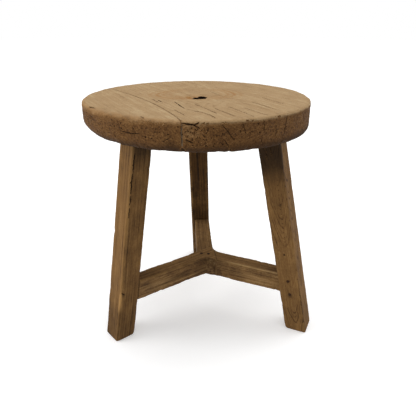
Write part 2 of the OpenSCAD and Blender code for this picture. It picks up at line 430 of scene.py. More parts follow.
class Shader:
    """Short ways to add nodes to one material."""

    def __init__(self, name):
        self.material = bpy.data.materials.new(name)
        self.material.use_nodes = True
        self.tree = self.material.node_tree

    def put(self, socket, value):
        if isinstance(value, Value):
            self.tree.links.new(value.socket, socket)
        else:
            socket.default_value = value

    def paint(self, name, value):
        """Puts a plain value or a node's output on the surface shader itself."""
        self.put(self.tree.nodes["Principled BSDF"].inputs[name], value)

    def node(self, kind, output, inputs=None, **settings):
        made = self.tree.nodes.new(kind)
        for key, value in settings.items():
            setattr(made, key, value)
        for key, value in (inputs or {}).items():
            self.put(made.inputs[key], value)
        return Value(self, made.outputs[output])

    def math(self, operation, a, b=0.0, clamp=False):
        return self.node("ShaderNodeMath", 0, {0: a, 1: b}, operation=operation, use_clamp=clamp)

    def vector(self, operation, a, b=(0, 0, 0)):
        second = "Scale" if operation == "SCALE" else 1
        output = "Value" if operation == "LENGTH" else "Vector"
        return self.node("ShaderNodeVectorMath", output, {0: a, second: b}, operation=operation)

    def millimetres(self):
        """Where the point lies in its own object."""
        return self.vector("SCALE", self.node("ShaderNodeTexCoord", "Object"), 1 / MM)

    def noise(self, vector, across, along, detail=2.0, roughness=0.55, output="Fac"):
        """Noise from 0 to 1 whose bumps are about `across` wide and `along` long in Z, in millimetres."""
        scaled = self.vector("MULTIPLY", vector, (1 / across, 1 / across, 1 / along))
        return self.node("ShaderNodeTexNoise", output, {
            "Vector": scaled, "Scale": 1.0, "Detail": detail, "Roughness": roughness,
        })

    def ramp(self, value, start, end, low=0.0, high=1.0):
        """Maps start..end to low..high with a smooth step, clamped."""
        return self.node("ShaderNodeMapRange", "Result", {
            "Value": value, "From Min": start, "From Max": end, "To Min": low, "To Max": high,
        }, interpolation_type="SMOOTHSTEP")

    def mix(self, factor, a, b):
        return self.node("ShaderNodeMix", 2, {0: factor, 6: a, 7: b}, data_type="RGBA")

    def mask(self, name):
        return self.node("ShaderNodeAttribute", "Fac", attribute_name=name)

    def bump(self, height, strength):
        inputs = {"Height": height, "Strength": strength, "Distance": BUMP_DEPTH}
        self.paint("Normal", self.node("ShaderNodeBump", "Normal", inputs))


def rgb(red, green, blue):
    """A colour given as screen values, made linear."""
    return tuple(((c / 255 + 0.055) / 1.055) ** 2.4 if c > 10 else c / 255 / 12.92
                 for c in (red, green, blue)) + (1.0,)


def grain_matrix(origin, along, outward):
    """The grain's own frame: Z along the grain, X across it towards `outward`."""
    z = Vector(along).normalized()
    x = Vector(outward)
    x = (x - z * x.dot(z)).normalized()
    y = z.cross(x)
    rotation = Matrix((x, y, z)).transposed()
    return Matrix.Translation(origin) @ rotation.to_4x4()


# What every look has unless it says otherwise
PLAIN_LOOK = dict(
    knots=(), wander=9.0, taper=0.0, uneven=2.0, late_from=0.4,
    rub=0.5, pore_tone=0.45, speck_size=1.5, pitting=0.5, dents=1.0, bump=0.55,
)
MEAN_TONE = 0.55
DARKENING_STRENGTH = 0.85
LEAST_ROUGHNESS = 0.6


def wood(name, place, look):
    """Old worn wood. `place` is the matrix of the grain's frame in millimetres, with its origin on the pith.
    `look` holds the colours and how strong each kind of figure is."""
    s = Shader(name)
    local = s.node("ShaderNodeMapping", "Vector", {
        "Vector": s.millimetres(), "Location": place.to_translation(), "Rotation": place.to_euler("XYZ"),
    }, vector_type="TEXTURE")

    # Growth rings: distance from the pith, wandering along the grain, and bulging round a knot
    wander = s.noise(local, 38, 190, roughness=0.5, output="Color")
    wander = s.vector("SCALE", s.vector("SUBTRACT", wander, (0.5, 0.5, 0.5)), look["wander"])
    bent = s.vector("ADD", local, wander)
    x, z = [s.node("ShaderNodeSeparateXYZ", axis, {0: bent}) for axis in "XZ"]
    radius = s.vector("LENGTH", s.vector("MULTIPLY", bent, (1, 1, 0))) + z * look["taper"]
    for knot_x, knot_z, size_x, size_z, bulge in look["knots"]:
        dx = (x - knot_x) / size_x
        dz = (z - knot_z) / size_z
        radius = radius + s.math("EXPONENT", (dx * dx + dz * dz) * -1.0) * bulge
    turn = radius / look["ring"]
    inputs = {"W": turn * 0.31, "Scale": 1.0, "Detail": 1.0}
    uneven = s.node("ShaderNodeTexNoise", "Fac", inputs, noise_dimensions="1D")
    phase = s.math("FRACT", turn + uneven * look["uneven"])
    late = s.ramp(phase, look["late_from"], 0.9) * s.ramp(phase, 1.0, 0.92)
    late = late * s.ramp(s.noise(local, 24, 90), 0.35, 0.65, 0.15, 1.0)

    # Fibres, streaks and pores drawn out along the grain, and blotches of age
    fibre = s.noise(local, 0.9, 24, 3.0, 0.6)
    streak = s.noise(local, 3.2, 85, 3.0, 0.6)
    band = s.noise(local, 14, 240)
    pore = s.ramp(s.noise(local, 0.8, 7, 1.0), 0.64, 0.76)
    blotch = s.noise(local, 17, 26, 4.0, 0.6)
    mottle = s.noise(local, 5.5, 9, 3.0, 0.65)
    speckle = s.noise(local, 2.1, 3.4, 2.0, 0.7)

    def colour_of(weights, dark, mid, light):
        tone = late * -weights[0]
        for value, amount in zip((fibre, streak, band, blotch, mottle, speckle), weights[1:]):
            tone = tone + (value - 0.5) * amount
        tone = s.math("ADD", tone, MEAN_TONE, clamp=True)
        lower = s.mix(s.ramp(tone, 0.0, 0.5), dark, mid)
        return s.mix(s.ramp(tone, 0.45, 1.0), lower, light)

    light = colour_of(look["figure"], look["dark"], look["mid"], look["light"])
    # Patina on the faces that the wear mask leaves out, broken up at its border; that mask also paints light
    # on some faces as paler wood
    worn = s.ramp(s.mask("worn") + (blotch - 0.5) * 0.6 + (speckle - 0.5) * 0.3, 0.15, 0.85)
    old_figure = look.get("old_figure", look["figure"])
    old = colour_of(old_figure, look["old_dark"], look["old_mid"], look["old_light"])
    speck = s.ramp(s.noise(local, look["speck_size"], 4), 0.6, 0.72)
    old = s.mix(speck * look["specks"], old, look["stain_and_shade_colour"])
    colour = s.mix(worn, old, light)

    # Arrises rubbed paler; stains, dirt and painted shade; golden wood and painted highlights; dark pores
    rub = s.mask("edge") * s.ramp(blotch, 0.35, 0.6)
    colour = s.mix(rub * look["rub"], colour, look["rubbed"])
    # Darkens by the stain mask, which holds real stains and also painted shade
    darkening = s.ramp(s.mask("stain_and_shade") + (speckle - 0.5) * 0.5, 0.1, 0.9)
    colour = s.mix(darkening * DARKENING_STRENGTH, colour, look["stain_and_shade_colour"])
    colour = s.mix(s.mask("pale") * s.ramp(streak, 0.3, 0.55), colour, look["pale"])
    s.paint("Base Color", s.mix(pore * look["pore_tone"], colour, look["pore"]))

    # Dull where rough, a low sheen where hands and clothes have polished it
    gloss = blotch * 0.3 + LEAST_ROUGHNESS - s.mask("edge") * 0.08
    s.paint("Roughness", s.math("ADD", gloss, fibre * 0.12, clamp=True))
    s.paint("Specular IOR Level", SPECULAR)

    coarse = speckle * look["pitting"] + mottle * look["dents"]
    height = fibre * 0.5 + streak * 0.7 - pore * 0.7 + late * 0.25
    s.bump(height + coarse * s.ramp(worn, 0.3, 1.0, 1.0, 0.2), look["bump"])
    return s.material


def dark_crack(name, colour, edge_colour):
    """The inside of cracks, holes and chips."""
    s = Shader(name)
    grit = s.noise(s.millimetres(), 1.1, 2.5, 3.0, 0.7)
    s.paint("Base Color", s.mix(s.ramp(grit, 0.35, 0.75), colour, edge_colour))
    s.paint("Roughness", s.ramp(grit, 0.2, 0.8, 0.8, 1.0))
    s.paint("Specular IOR Level", SPECULAR)
    s.bump(grit, 0.6)
    return s.material


# `figure` weighs rings, fibres, streaks, bands, blotches, mottle and speckle. The `old_` values are for
# unworn faces.
SEAT_LOOK = dict(
    PLAIN_LOOK, dark=rgb(108, 82, 53), mid=rgb(152, 125, 90), light=rgb(177, 155, 120),
    old_dark=rgb(52, 32, 15), old_mid=rgb(93, 63, 33), old_light=rgb(119, 86, 49),
    rubbed=rgb(150, 118, 76), stain_and_shade_colour=rgb(40, 25, 12), pale=rgb(140, 101, 58), pore=rgb(64, 40, 20),
    figure=(0.16, 0.4, 0.7, 0.35, 0.5, 0.2, 0.2), old_figure=(0.16, 0.7, 0.3, 0.3, 0.45, 0.55, 1.7),
    rub=0.3, pore_tone=0.3, specks=0.95, pitting=3.6, dents=3.0, bump=1.0, speck_size=1.6,
)
LEG_LOOK = dict(
    PLAIN_LOOK, dark=rgb(70, 48, 25), mid=rgb(113, 82, 46), light=rgb(143, 109, 67),
    old_dark=rgb(48, 32, 15), old_mid=rgb(87, 62, 34), old_light=rgb(117, 88, 53),
    rubbed=rgb(136, 104, 61), stain_and_shade_colour=rgb(30, 20, 11), pale=rgb(160, 122, 74), pore=rgb(38, 24, 13),
    figure=(0.3, 0.6, 1.0, 0.5, 0.6, 0.2, 0.3), specks=0.4,
)
STRETCHER_LOOK = dict(
    LEG_LOOK, dark=rgb(78, 54, 31), mid=rgb(126, 94, 56), light=rgb(160, 124, 80), ring=2.8,
    old_dark=rgb(52, 34, 18), old_mid=rgb(92, 67, 40), old_light=rgb(128, 102, 66), pale=rgb(190, 156, 108),
    figure=(0.3, 0.8, 1.3, 0.5, 0.6, 0.3, 0.5), old_figure=(0.3, 0.9, 1.6, 0.5, 0.6, 0.3, 0.6),
)
PEG_LOOK = dict(
    LEG_LOOK, dark=rgb(30, 18, 10), mid=rgb(50, 30, 17), light=rgb(78, 50, 30),
    old_dark=rgb(26, 15, 8), old_mid=rgb(44, 27, 15), old_light=rgb(70, 45, 27), ring=1.6,
)
HIDDEN_LOOK = dict(SEAT_LOOK, ring=2.4)


def seat_wood_place(shift, depth):
    """The grain's frame in a seat board: the pith runs along the grain, `depth` below the underside."""
    origin = Vector((*(SEAT_CENTRE + shift * ACROSS), SEAT_LOW - depth))
    return grain_matrix(origin, (*GRAIN, 0), (*ACROSS, 0))


main_place = seat_wood_place(11.5, 50)
knot_local = main_place.inverted() @ Vector((KNOT[0] + 2, KNOT[1] + 14, SEAT_TOP))
seat_wood = wood("seat_wood", main_place, dict(
    SEAT_LOOK, knots=((knot_local.x, knot_local.z, 42, 58, 26),), ring=3.6,
))
side_wood = wood("seat_side_wood", seat_wood_place(-150, 74), dict(SEAT_LOOK, ring=4.2))
crack_dark = dark_crack("crack_dark", rgb(16, 10, 6), rgb(38, 24, 13))
crack_soft = dark_crack("crack_soft", rgb(46, 31, 18), rgb(84, 61, 38))
seam_dust = dark_crack("seam_dust", rgb(88, 72, 54), rgb(124, 108, 86))
hair_brown = dark_crack("hair_brown", rgb(140, 112, 78), rgb(166, 138, 101))
torn_pale = dark_crack("torn_pale", rgb(124, 90, 54), rgb(182, 146, 100))


# ---- Seat ----

RIM_SPLIT = SEAT_TOP - 11
# The lower rim is worn away most on the left
LOW_RIM_LEAST = 5.0
LOW_RIM_MOST = 19.5
LOW_RIM_KEPT_AZ = math.radians(20)
# The upper edge is rubbed roundest here
SOFT_RIM_AZ = math.radians(-132)
SOFT_RIM_SPREAD = math.radians(27)


def seat_plan(points):
    """Places in plan from the seat's centre, their distance from it and their azimuth."""
    plan = points[:, :2] - SEAT_CENTRE
    return plan, np.hypot(plan[:, 0], plan[:, 1]), np.arctan2(plan[:, 1], plan[:, 0])


RIM_AZ = np.linspace(-math.pi, math.pi, 1441)
RIM_PLAN = np.stack([np.cos(RIM_AZ), np.sin(RIM_AZ)], 1) * SEAT_R
LEFTNESS = ((1 - np.cos(RIM_AZ - LOW_RIM_KEPT_AZ)) / 2) ** 2
# How far in the rim's side stands, and the rounding of its upper and lower edges, all round the rim
RIM_INSET = np.clip(0.1 + 0.14 * ripple(RIM_PLAN, 70, 11) + 0.06 * ripple(RIM_PLAN, 17, 12), 0, 0.8)
TOP_ROUND = 3.5 + 5.0 * np.exp(-((RIM_AZ - SOFT_RIM_AZ) / SOFT_RIM_SPREAD) ** 2)
TOP_ROUND = np.clip(TOP_ROUND + 0.5 * ripple(RIM_PLAN, 50, 15) + 0.4 * ripple(RIM_PLAN, 16, 16), 3.05, 10)
LOW_ROUND = LOW_RIM_LEAST + (LOW_RIM_MOST - LOW_RIM_LEAST) * LEFTNESS
LOW_ROUND = np.clip(LOW_ROUND + 0.9 * ripple(RIM_PLAN, 36, 17) + 0.4 * ripple(RIM_PLAN, 12, 18), 6.05, 28)


# The knot from the seat's centre
KNOT_AT = KNOT - SEAT_CENTRE


def seat_field(points):
    plan, r, az = seat_plan(points)
    rim = r - (SEAT_R - SKIN - np.interp(az, RIM_AZ, RIM_INSET))
    bowl = 2.2 * blob(plan, KNOT_AT + (-3, -1), (19, 12)) + 0.7 * blob(plan, KNOT_AT + (-14, 1), (8, 7))
    dish = 0.3 * np.exp(-(r / 95) ** 2)
    low_round, top_round = np.interp(az, RIM_AZ, LOW_ROUND), np.interp(az, RIM_AZ, TOP_ROUND)
    top = SEAT_TOP - SKIN - bowl - dish
    return slab(rim, points[:, 2], SEAT_LOW + SKIN, top, low_round, top_round, RIM_SPLIT)


def seat_relief(points, normals):
    """Fine unevenness: shallow furrows along the grain on top, pitted end grain on the rim."""
    plan = points[:, :2]
    drawn = np.stack([plan @ ACROSS, plan @ GRAIN, points[:, 2]], 1)
    up = smooth(np.abs(normals[:, 2]), 0.5, 0.9)
    sag = 0.06 + 0.08 * ripple(plan, 60, 13)
    furrow = 0.08 + 0.06 * ripple(drawn, (5, 90, 5), 21) + 0.04 * ripple(drawn, (2.6, 45, 2.6), 22)
    pitted = 0.16 + 0.13 * ripple(drawn, (10, 14, 10), 23) + 0.11 * ripple(drawn, (4.2, 6, 4.2), 24)
    bites = 0.9 * np.maximum(ripple(drawn, (8, 8, 6), 25) - 1.7, 0)
    return np.clip(sag, 0, None) + up * furrow + (1 - up) * (pitted + bites)


# The eye's middle and half sizes, from the seat's centre
EYE = (1.0, 20.0)
EYE_SIZE = (58.0, 46.0)


def seat_masks(points, normals, edge):
    plan, r, az = seat_plan(points)
    leftness = np.interp(az, RIM_AZ, LEFTNESS)
    start = SEAT_TOP - 3.0 + 2.5 * leftness
    fade = 2.5 + 7.5 * leftness
    worn = 1 - np.clip((start - points[:, 2]) / fade, 0, 1) ** 0.7
    softness = np.interp(az, RIM_AZ, (TOP_ROUND - TOP_ROUND.min()) / np.ptp(TOP_ROUND))
    worn = worn * (1 - (0.12 + 0.4 * softness) * smooth(r, SEAT_R - 7 - 13 * softness, SEAT_R))
    # Fresher wood where the rim has splintered beside the joint, and a painted shadow on the joint's other
    # side
    unrolled = np.stack([az * SEAT_R, SEAT_TOP - points[:, 2]], 1)
    worn = worn + 0.42 * blob(unrolled, (math.radians(-97) * SEAT_R, 11), (14, 13)) * (1 - worn)
    darkening = 0.3 * blob(unrolled, (math.radians(-105.5) * SEAT_R, 23), (8, 13))
    upward = smooth(normals[:, 2], 0.5, 0.8)
    tan_ring = 0.55 * blob(plan, KNOT_AT + (-4, 3), (24, 17)) + 0.25 * blob(plan, KNOT_AT + (-13, 2), (9, 9))
    stain_and_shade = 0.34 * blob(plan, KNOT_AT + (-11, 1), (6, 6)) + 0.2 * blob(plan, KNOT_AT + (2, 11), (11, 6))
    # The stain mask also takes the painted shadow beside the joint, and darkens the unworn rim towards the
    # underside
    stain_and_shade = stain_and_shade * upward + darkening + 0.8 * smooth(-points[:, 2], -SEAT_LOW - 20, -SEAT_LOW - 1) * (1 - worn)
    # Golden where the worn top turns into the old rim
    pale = tan_ring * upward + (0.4 + 2.0 * leftness) * worn * (1 - worn)
    # Rings of the grain that close round the knot, seen as an eye
    x, y = (plan - EYE).T
    turned = np.arctan2(y, x)
    reach = np.hypot(x / EYE_SIZE[0], y / EYE_SIZE[1]) + 0.025 * np.sin(5 * turned + 1)
    for size, strength in ((1.0, 0.92), (0.84, 0.68), (0.66, 0.5), (1.18, 0.4)):
        arc = np.exp(-((reach - size) / 0.055) ** 2) * (0.25 + 0.75 * np.abs(np.cos(turned)) ** 1.5)
        pale = pale + strength * arc * upward
    return {"worn": worn, "edge": edge, "stain_and_shade": stain_and_shade, "pale": np.clip(pale, 0, 1)}


def rim_point(az, below):
    """A point just inside the rim at an azimuth in degrees, `below` millimetres under the top."""
    return [*(SEAT_CENTRE + (SEAT_R - 0.5) * heading(az)), SEAT_TOP - below]


def rim_normals(points):
    outward = (points - (SEAT_X, SEAT_Y, 0)) * (1, 1, 0)
    return outward / np.linalg.norm(outward, axis=1)[:, None]


def top_point(x, y, below=0.6):
    """A point just under the top, from the seat's centre."""
    return [SEAT_X + x, SEAT_Y + y, SEAT_TOP - below]


def seam_point(s):
    """A point of the joint in plan, `s` along it from its middle."""
    away = SEAM_OFFSET + SEAM_R - math.sqrt(SEAM_R ** 2 - s ** 2)
    return SEAT_CENTRE + away * SEAM_HEADING + s * quarter_turn(SEAM_HEADING)


def seam_groove():
    """A fine furrow along the joint on the top."""
    reach = 149
    path = [[*seam_point(s), SEAT_TOP - 0.4] for s in np.linspace(-reach, reach, 60)]
    return crack_shape(path, UPWARD, 0.34, 0.16, 31, spacing=2.5, wander=0.2, blunt=0.6)


def seam_end(sign):
    """The place where the joint meets the rim, in degrees."""
    low, high = 100.0, 165.0
    for _ in range(40):
        middle = (low + high) / 2
        p = seam_point(sign * middle) - SEAT_CENTRE
        if np.linalg.norm(p) < SEAT_R:
            low = middle
        else:
            high = middle
    return math.degrees(math.atan2(p[1], p[0]))


SEAM_ENDS = (seam_end(1), seam_end(-1))


def seam_rim_groove(az):
    """The joint's upright line where it meets the rim."""
    path = [rim_point(az, below) for below in np.linspace(1.5, 38.5, 18)]
    return crack_shape(path, rim_normals, 1.9, 1.1, 41, wander=0.2, blunt=0.6)


# Notches in the lower edge: azimuth, width, depth
LOW_NOTCHES = [
    (SEAM_ENDS[0], 8.0, 6.5), (-80.8, 5.0, 4.6), (-50.5, 3.0, 2.2), (-46.2, 4.4, 3.0), (-121, 3.2, 2.2),
]


def low_notch(az, width, depth):
    """A notch across the rounded lower edge."""
    radius = np.interp(math.radians(az), RIM_AZ, LOW_ROUND)
    path = []
    for turn in np.radians([25, 48, 70, 92]):
        r = SEAT_R - radius + radius * math.cos(turn)
        path.append([*(SEAT_CENTRE + r * heading(az)), SEAT_LOW + radius - radius * math.sin(turn)])
    outward = flat_normals((*(0.5 * heading(az)), -0.86))
    return crack_shape(path, outward, width, depth, int(-az * 10), spacing=1.0, blunt=0.4)


# Cracks in the rim: path as (azimuth, depth below the top), width and depth of the crack
MAIN_RIM_CRACKS = [
    ([(-100.8, 2.4), (-98.4, 3.6), (-96.0, 4.8), (-93.4, 8.6)], 1.3, 6),
    ([(-96.2, 5.2), (-94.9, 3.4), (-93.6, 0.6)], 1.1, 4),
    ([(-95.9, 9.2), (-94.6, 11.2)], 0.8, 3),
    ([(-92.7, 3.4), (-91.4, 1.6)], 0.8, 3),
    ([(-99.3, 21.2), (-97.9, 23.4), (-96.2, 26.4)], 1.2, 4),
    ([(-84.8, 4.4), (-82.6, 12), (-81.0, 18), (-79.2, 24.4)], 0.9, 4),
    ([(-84.2, 21.4), (-82.6, 27), (-81.0, 35)], 0.9, 5),
    ([(-76.0, 3.8), (-75.2, 11), (-74.2, 18.5)], 0.8, 3),
    ([(-66.2, 3.0), (-65.6, 11), (-65.2, 19)], 0.8, 3),
    ([(-66.9, 25.0), (-66.1, 34)], 0.7, 3),
    ([(-59.2, 10.0), (-58.8, 30)], 0.7, 3),
    ([(-52.2, 3.0), (-52.9, 13), (-53.6, 29)], 0.9, 3),
    ([(-43.6, 4.0), (-44.8, 26)], 0.75, 3),
    ([(-36.5, 5.0), (-37.2, 24)], 0.7, 3),
    ([(67, 9), (66, 24)], 0.6, 3),
    ([(84, 4), (85, 19), (84.4, 31)], 0.8, 4),
    ([(101, 5.5), (102, 17)], 0.6, 3),
    ([(118, 16), (117, 34)], 0.7, 3),
]
SIDE_RIM_CRACKS = [
    ([(-128.8, 17.6), (-124, 18.6), (-118.4, 18.0)], 1.0, 5),
    ([(-109.2, 25.0), (-107.4, 23.0), (-105.7, 19.6)], 0.9, 4),
    ([(-152.0, 9.0), (-148.4, 10.2)], 0.7, 2),
]
# Cracks on the top, from the seat's centre: path, width and depth of the crack
MAIN_TOP_CRACKS = [
    ([(-35, -40), (-31, -55), (-28, -69), (-23.5, -89)], 0.9, 4),
    ([(-57, -26), (-51, -42)], 0.6, 1.5),
]
SIDE_TOP_CRACKS = [
    ([(-146, -66), (-141, -72), (-137, -77)], 1.3, 2.5),
    ([(-78, -132), (-74, -140)], 0.6, 1.5),
]
# Hair lines along the grain: how far under the top they run, and their paths from the seat's centre
HAIR_BELOW = 0.38
HAIR_LINES = [
    [(-20, -96), (-10, -107), (-1, -119), (6, -136), (10, -150)],
    [(-36, -98), (-26, -130)],
    [(-8, -60), (6, -96), (14, -124)],
    [(16, -92), (34, -142)],
    [(36, -84), (50, -126), (56, -146)],
    [(54, -92), (74, -140)],
    [(-66, -14), (-56, -44)],
    [(72, -52), (92, -108)],
    [(24, 40), (38, -2)],
    [(94, -20), (112, -72)],
]
# Torn fibres at the upper arris: azimuths
TORN_AZ = (
    -119.5, -116.2, -113.8, -110.6, -108.4, -105.5, -99.8, -92.2, -90.6, -84.6, -83.4, -71.5, -57.5, -40.6,
)
PIT_COUNT = 240
SPLINTER_TRIES = 90


def cracks(table, place, normals, seed, wander=0.35):
    """Crack shapes from a table of paths, widths and depths. place(*entry) gives each point."""
    return [
        crack_shape([place(*entry) for entry in path], normals, width, depth, seed + i, wander=wander)
        for i, (path, width, depth) in enumerate(table)
    ]


def board_cracks(rim_table, top_table, seed):
    on_top = cracks(top_table, top_point, UPWARD, seed + 50, 0.25)
    return cracks(rim_table, rim_point, rim_normals, seed) + on_top


def torn_fibres():
    """Short splinters missing from the upper arris."""
    rng = np.random.default_rng(88)
    shapes = []
    for az in TORN_AZ:
        start = rng.uniform(1.2, 2.2)
        lower_az = az - 0.5 + rng.uniform(-0.8, 0.8)
        path = [rim_point(az + 0.5, start), rim_point(lower_az, start + rng.uniform(2.5, 5))]
        shapes.append(crack_shape(path, rim_normals, rng.uniform(0.9, 1.7), 1.1, int(az * -10), spacing=0.8))
    return shapes


def splintered_patch(seed, size, depth):
    """Small torn strokes on the rim to the right of the joint, apart from each other."""
    rng = np.random.default_rng(seed)
    places, shapes = [], []
    for _ in range(SPLINTER_TRIES):
        az, below = rng.uniform(-99.5, -90.5), rng.uniform(8, 30)
        if all(abs(az - a) > 1.0 or abs(below - b) > 3.6 for a, b in places):
            places.append((az, below))
            lean = rng.choice((-1, 1)) * rng.uniform(0.2, 0.45)
            path = [rim_point(az - lean, below - 1.5), rim_point(az + lean, below + 1.5)]
            shapes.append(crack_shape(path, rim_normals, size, depth, seed + len(places), spacing=0.8))
    return shapes


def rim_pits():
    """Worm holes and lost grains in the rim's end grain, apart from each other."""
    rng = np.random.default_rng(89)
    places, shapes = [], []
    while len(places) < PIT_COUNT:
        az, below = rng.uniform(-180, 180), rng.uniform(6, 37)
        arc = math.radians(az) * SEAT_R
        if all(abs(arc - a) > 4 or abs(below - b) > 4 for a, b in places):
            places.append((arc, below))
            centre = np.array(rim_point(az, below))
            outward = rim_normals(centre[None])[0]
            shapes.append(pit_shape(centre, outward, rng.uniform(0.4, 1.05), 2.0, len(places), sides=7))
    return shapes


# The ragged hole's depth and the least distance of its side from its middle
HOLE_DEPTH = 23.6
LEAST_REACH = 3.6


def knot_hole_shape():
    """The ragged hole of two lobes, almost as deep as the CAD's."""
    rng = np.random.default_rng(77)
    sides = 44
    turn = np.linspace(0, 2 * math.pi, sides, endpoint=False)
    lobes = ((-5.2, -0.4, 4.6, 6.0), (3.6, 1.6, 6.6, 8.6))
    phases = rng.uniform(0, 2 * math.pi, 5)
    x, y = np.cos(turn), np.sin(turn)
    rings = []
    for height in np.linspace(SEAT_TOP + 2, SEAT_TOP - HOLE_DEPTH, 12):
        depth = max(SEAT_TOP - height, 0)
        narrow = 1.06 - 0.22 * depth / 24
        reach = np.zeros(sides)
        for cx, cy, rx, ry in lobes:
            # Distance along each ray to the far side of this lobe
            a = (x / rx) ** 2 + (y / ry) ** 2
            b = -2 * (x * cx / rx ** 2 + y * cy / ry ** 2)
            c = (cx / rx) ** 2 + (cy / ry) ** 2 - 1
            inner = b * b - 4 * a * c
            far = np.where(inner > 0, (-b + np.sqrt(np.maximum(inner, 0))) / (2 * a), 0)
            reach = np.maximum(reach, far)
        reach = np.maximum(reach, LEAST_REACH)
        rough = sum(
            math.cos(0.5 * depth * (k + 1) / 3 + phases[k]) * np.sin((3 + 2 * k) * turn + phases[k])
            for k in range(5)
        )
        reach = narrow * reach + 0.42 * rough
        rings.append(np.stack([KNOT[0] + reach * x, KNOT[1] + reach * y, np.full(sides, height)], 1))
    return tube(rings[::-1])


def knot_plug_shape():
    """Fills the CAD's plain hole, so that the ragged one can be cut in its place."""
    sides = 48
    turn = np.linspace(0, 2 * math.pi, sides, endpoint=False)
    half, radius = 4.0, 6.8
    x = KNOT[0] + np.where(np.cos(turn) > 0, half, -half) + radius * np.cos(turn)
    y = KNOT[1] + radius * np.sin(turn)
    return tube([np.stack([x, y, np.full(sides, h)], 1) for h in (SEAT_TOP - 24.5, SEAT_TOP + 3)])


def make_seat():
    reach = SEAT_R + 3
    lo = (SEAT_X - reach, SEAT_Y - reach, SEAT_LOW - 3)
    hi = (SEAT_X + reach, SEAT_Y + reach, SEAT_TOP + 3)
    step = 1.55
    points, normals, quads, edge = worn_surface(seat_field, seat_relief, lo, hi, step)
    masks = seat_masks(points, normals, edge)
    boards = {}
    for node, material in (("seat_main_board", seat_wood), ("seat_side_board", side_wood)):
        board = make_object(node.replace("board", "plank"), points, quads, material, masks)
        cut = cad_copy(node, material)
        if node == "seat_main_board":
            combine(cut, closed_object("plug", [knot_plug_shape()], material), "UNION")
        combine(board, cut, "INTERSECT")
        boards[node] = board
    main, side = boards["seat_main_board"], boards["seat_side_board"]
    cuts = (
        (rim_pits(), crack_soft), (torn_fibres(), torn_pale),
        (splintered_patch(61, 0.8, 0.7), torn_pale), (splintered_patch(62, 0.9, 2.0), crack_soft),
        ([seam_rim_groove(az) for az in SEAM_ENDS], seam_dust), ([seam_groove()], hair_brown),
        ([low_notch(*notch) for notch in LOW_NOTCHES], crack_soft),
    )
    for board in (main, side):
        for shapes, material in cuts:
            cut_with(board, shapes, material)
    hair = [([(x, y, HAIR_BELOW) for x, y in path], 0.34, 0.14) for path in HAIR_LINES]
    cut_in_turns(main, cracks(hair, top_point, UPWARD, 150, 0.25), hair_brown)
    cut_with(main, [knot_hole_shape()], crack_dark)
    cut_in_turns(main, board_cracks(MAIN_RIM_CRACKS, MAIN_TOP_CRACKS, 100), crack_dark)
    cut_in_turns(side, board_cracks(SIDE_RIM_CRACKS, SIDE_TOP_CRACKS, 200), crack_dark)
    for node, board in boards.items():
        shade(board)
        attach(board, "root")
        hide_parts(node)


make_seat()


# ---- Legs ----

# The timbers are made this long, and are then cut to their solids
LEG_REACH = 352
ARM_REACH = 163
FOOT_ROUND = 3.6


def leg_field(leg, matrix):
    half_d, half_w = leg["d"] / 2 - SKIN, leg["w"] / 2 - SKIN
    up = np.array(matrix)[2]

    def field(points):
        x, y, z = points.T
        height = points @ up[:3] + up[3]
        corner = np.sign(x) + 2 * np.sign(y)
        along = np.stack([z, 40 * corner], 1)
        radius = 2.8 + 0.4 * ripple(along, 38, leg["az"]) + 0.2 * ripple(along, 11, leg["az"] + 1)
        radius = np.clip(radius + 1.6 * np.exp(-height / 14), 2.55, 6)
        section = rounded(np.abs(x) - half_d, np.abs(y) - half_w, radius)
        foot = -height - 0.5
        return rounded(np.maximum(section, z - LEG_REACH), foot, FOOT_ROUND)

    return field


def leg_relief(leg):
    def relief(points, normals):
        hewn = 0.03 + 0.04 * ripple(points, (26, 26, 70), leg["az"] + 2)
        grain = ripple(points, (3, 3, 70), leg["az"] + 3)
        furrow = 0.04 + 0.05 * grain + 0.03 * ripple(points, (5, 5, 14), 4)
        bites = 0.8 * np.maximum(ripple(points, (8, 8, 22), leg["az"] + 5) - 1.8, 0)
        return np.clip(hewn, 0, None) + furrow + bites
    return relief


def leg_place(matrix, pith):
    """The grain's frame in a leg: the grain runs up the leg, with the pith at a place across it."""
    turn = matrix.to_3x3()
    return grain_matrix(matrix @ Vector((*pith, 0)), turn @ Vector((0, 0, 1)), turn @ Vector((1, 0, 0)))


def leg_cracks(name, leg):
    """Paths in the leg's own frame, with the outward direction, width and depth of each crack."""
    out_x, out_y = leg["d"] / 2 - 0.4, leg["w"] / 2 - 0.4
    if name == "left":
        paths = [
            ([(4.4, 300), (3.6, 284), (3.9, 272)], 1.7, 3),
            ([(3.6, 270), (2.8, 255), (3.2, 240)], 1.9, 3),
            ([(3.0, 238), (2.6, 224)], 1.4, 3),
            ([(3.0, 220), (2.7, 204)], 1.3, 2.5),
            ([(1.2, 84), (7, 80)], 2.0, 2),
        ]
        return [
            ([(out_x - inset, out_y, z) for inset, z in path], (0, 1, 0), width, depth)
            for path, width, depth in paths
        ]
    if name == "right":
        corner = [(out_x, -out_y + inset, z) for inset, z in ((1.4, 92), (1.1, 70), (1.3, 44), (1.0, 16))]
        return [
            (corner, (1, 0, 0), 0.8, 2),
            ([(2, -out_y, 309), (3, -out_y, 292)], (0, -1, 0), 1.2, 2.5),
            ([(-6, -out_y, 304), (-5, -out_y, 286)], (0, -1, 0), 0.7, 2),
        ]
    return [([(-out_x, 3, 300), (-out_x, 4, 262), (-out_x, 3.4, 226)], (-1, 0, 0), 0.7, 2)]


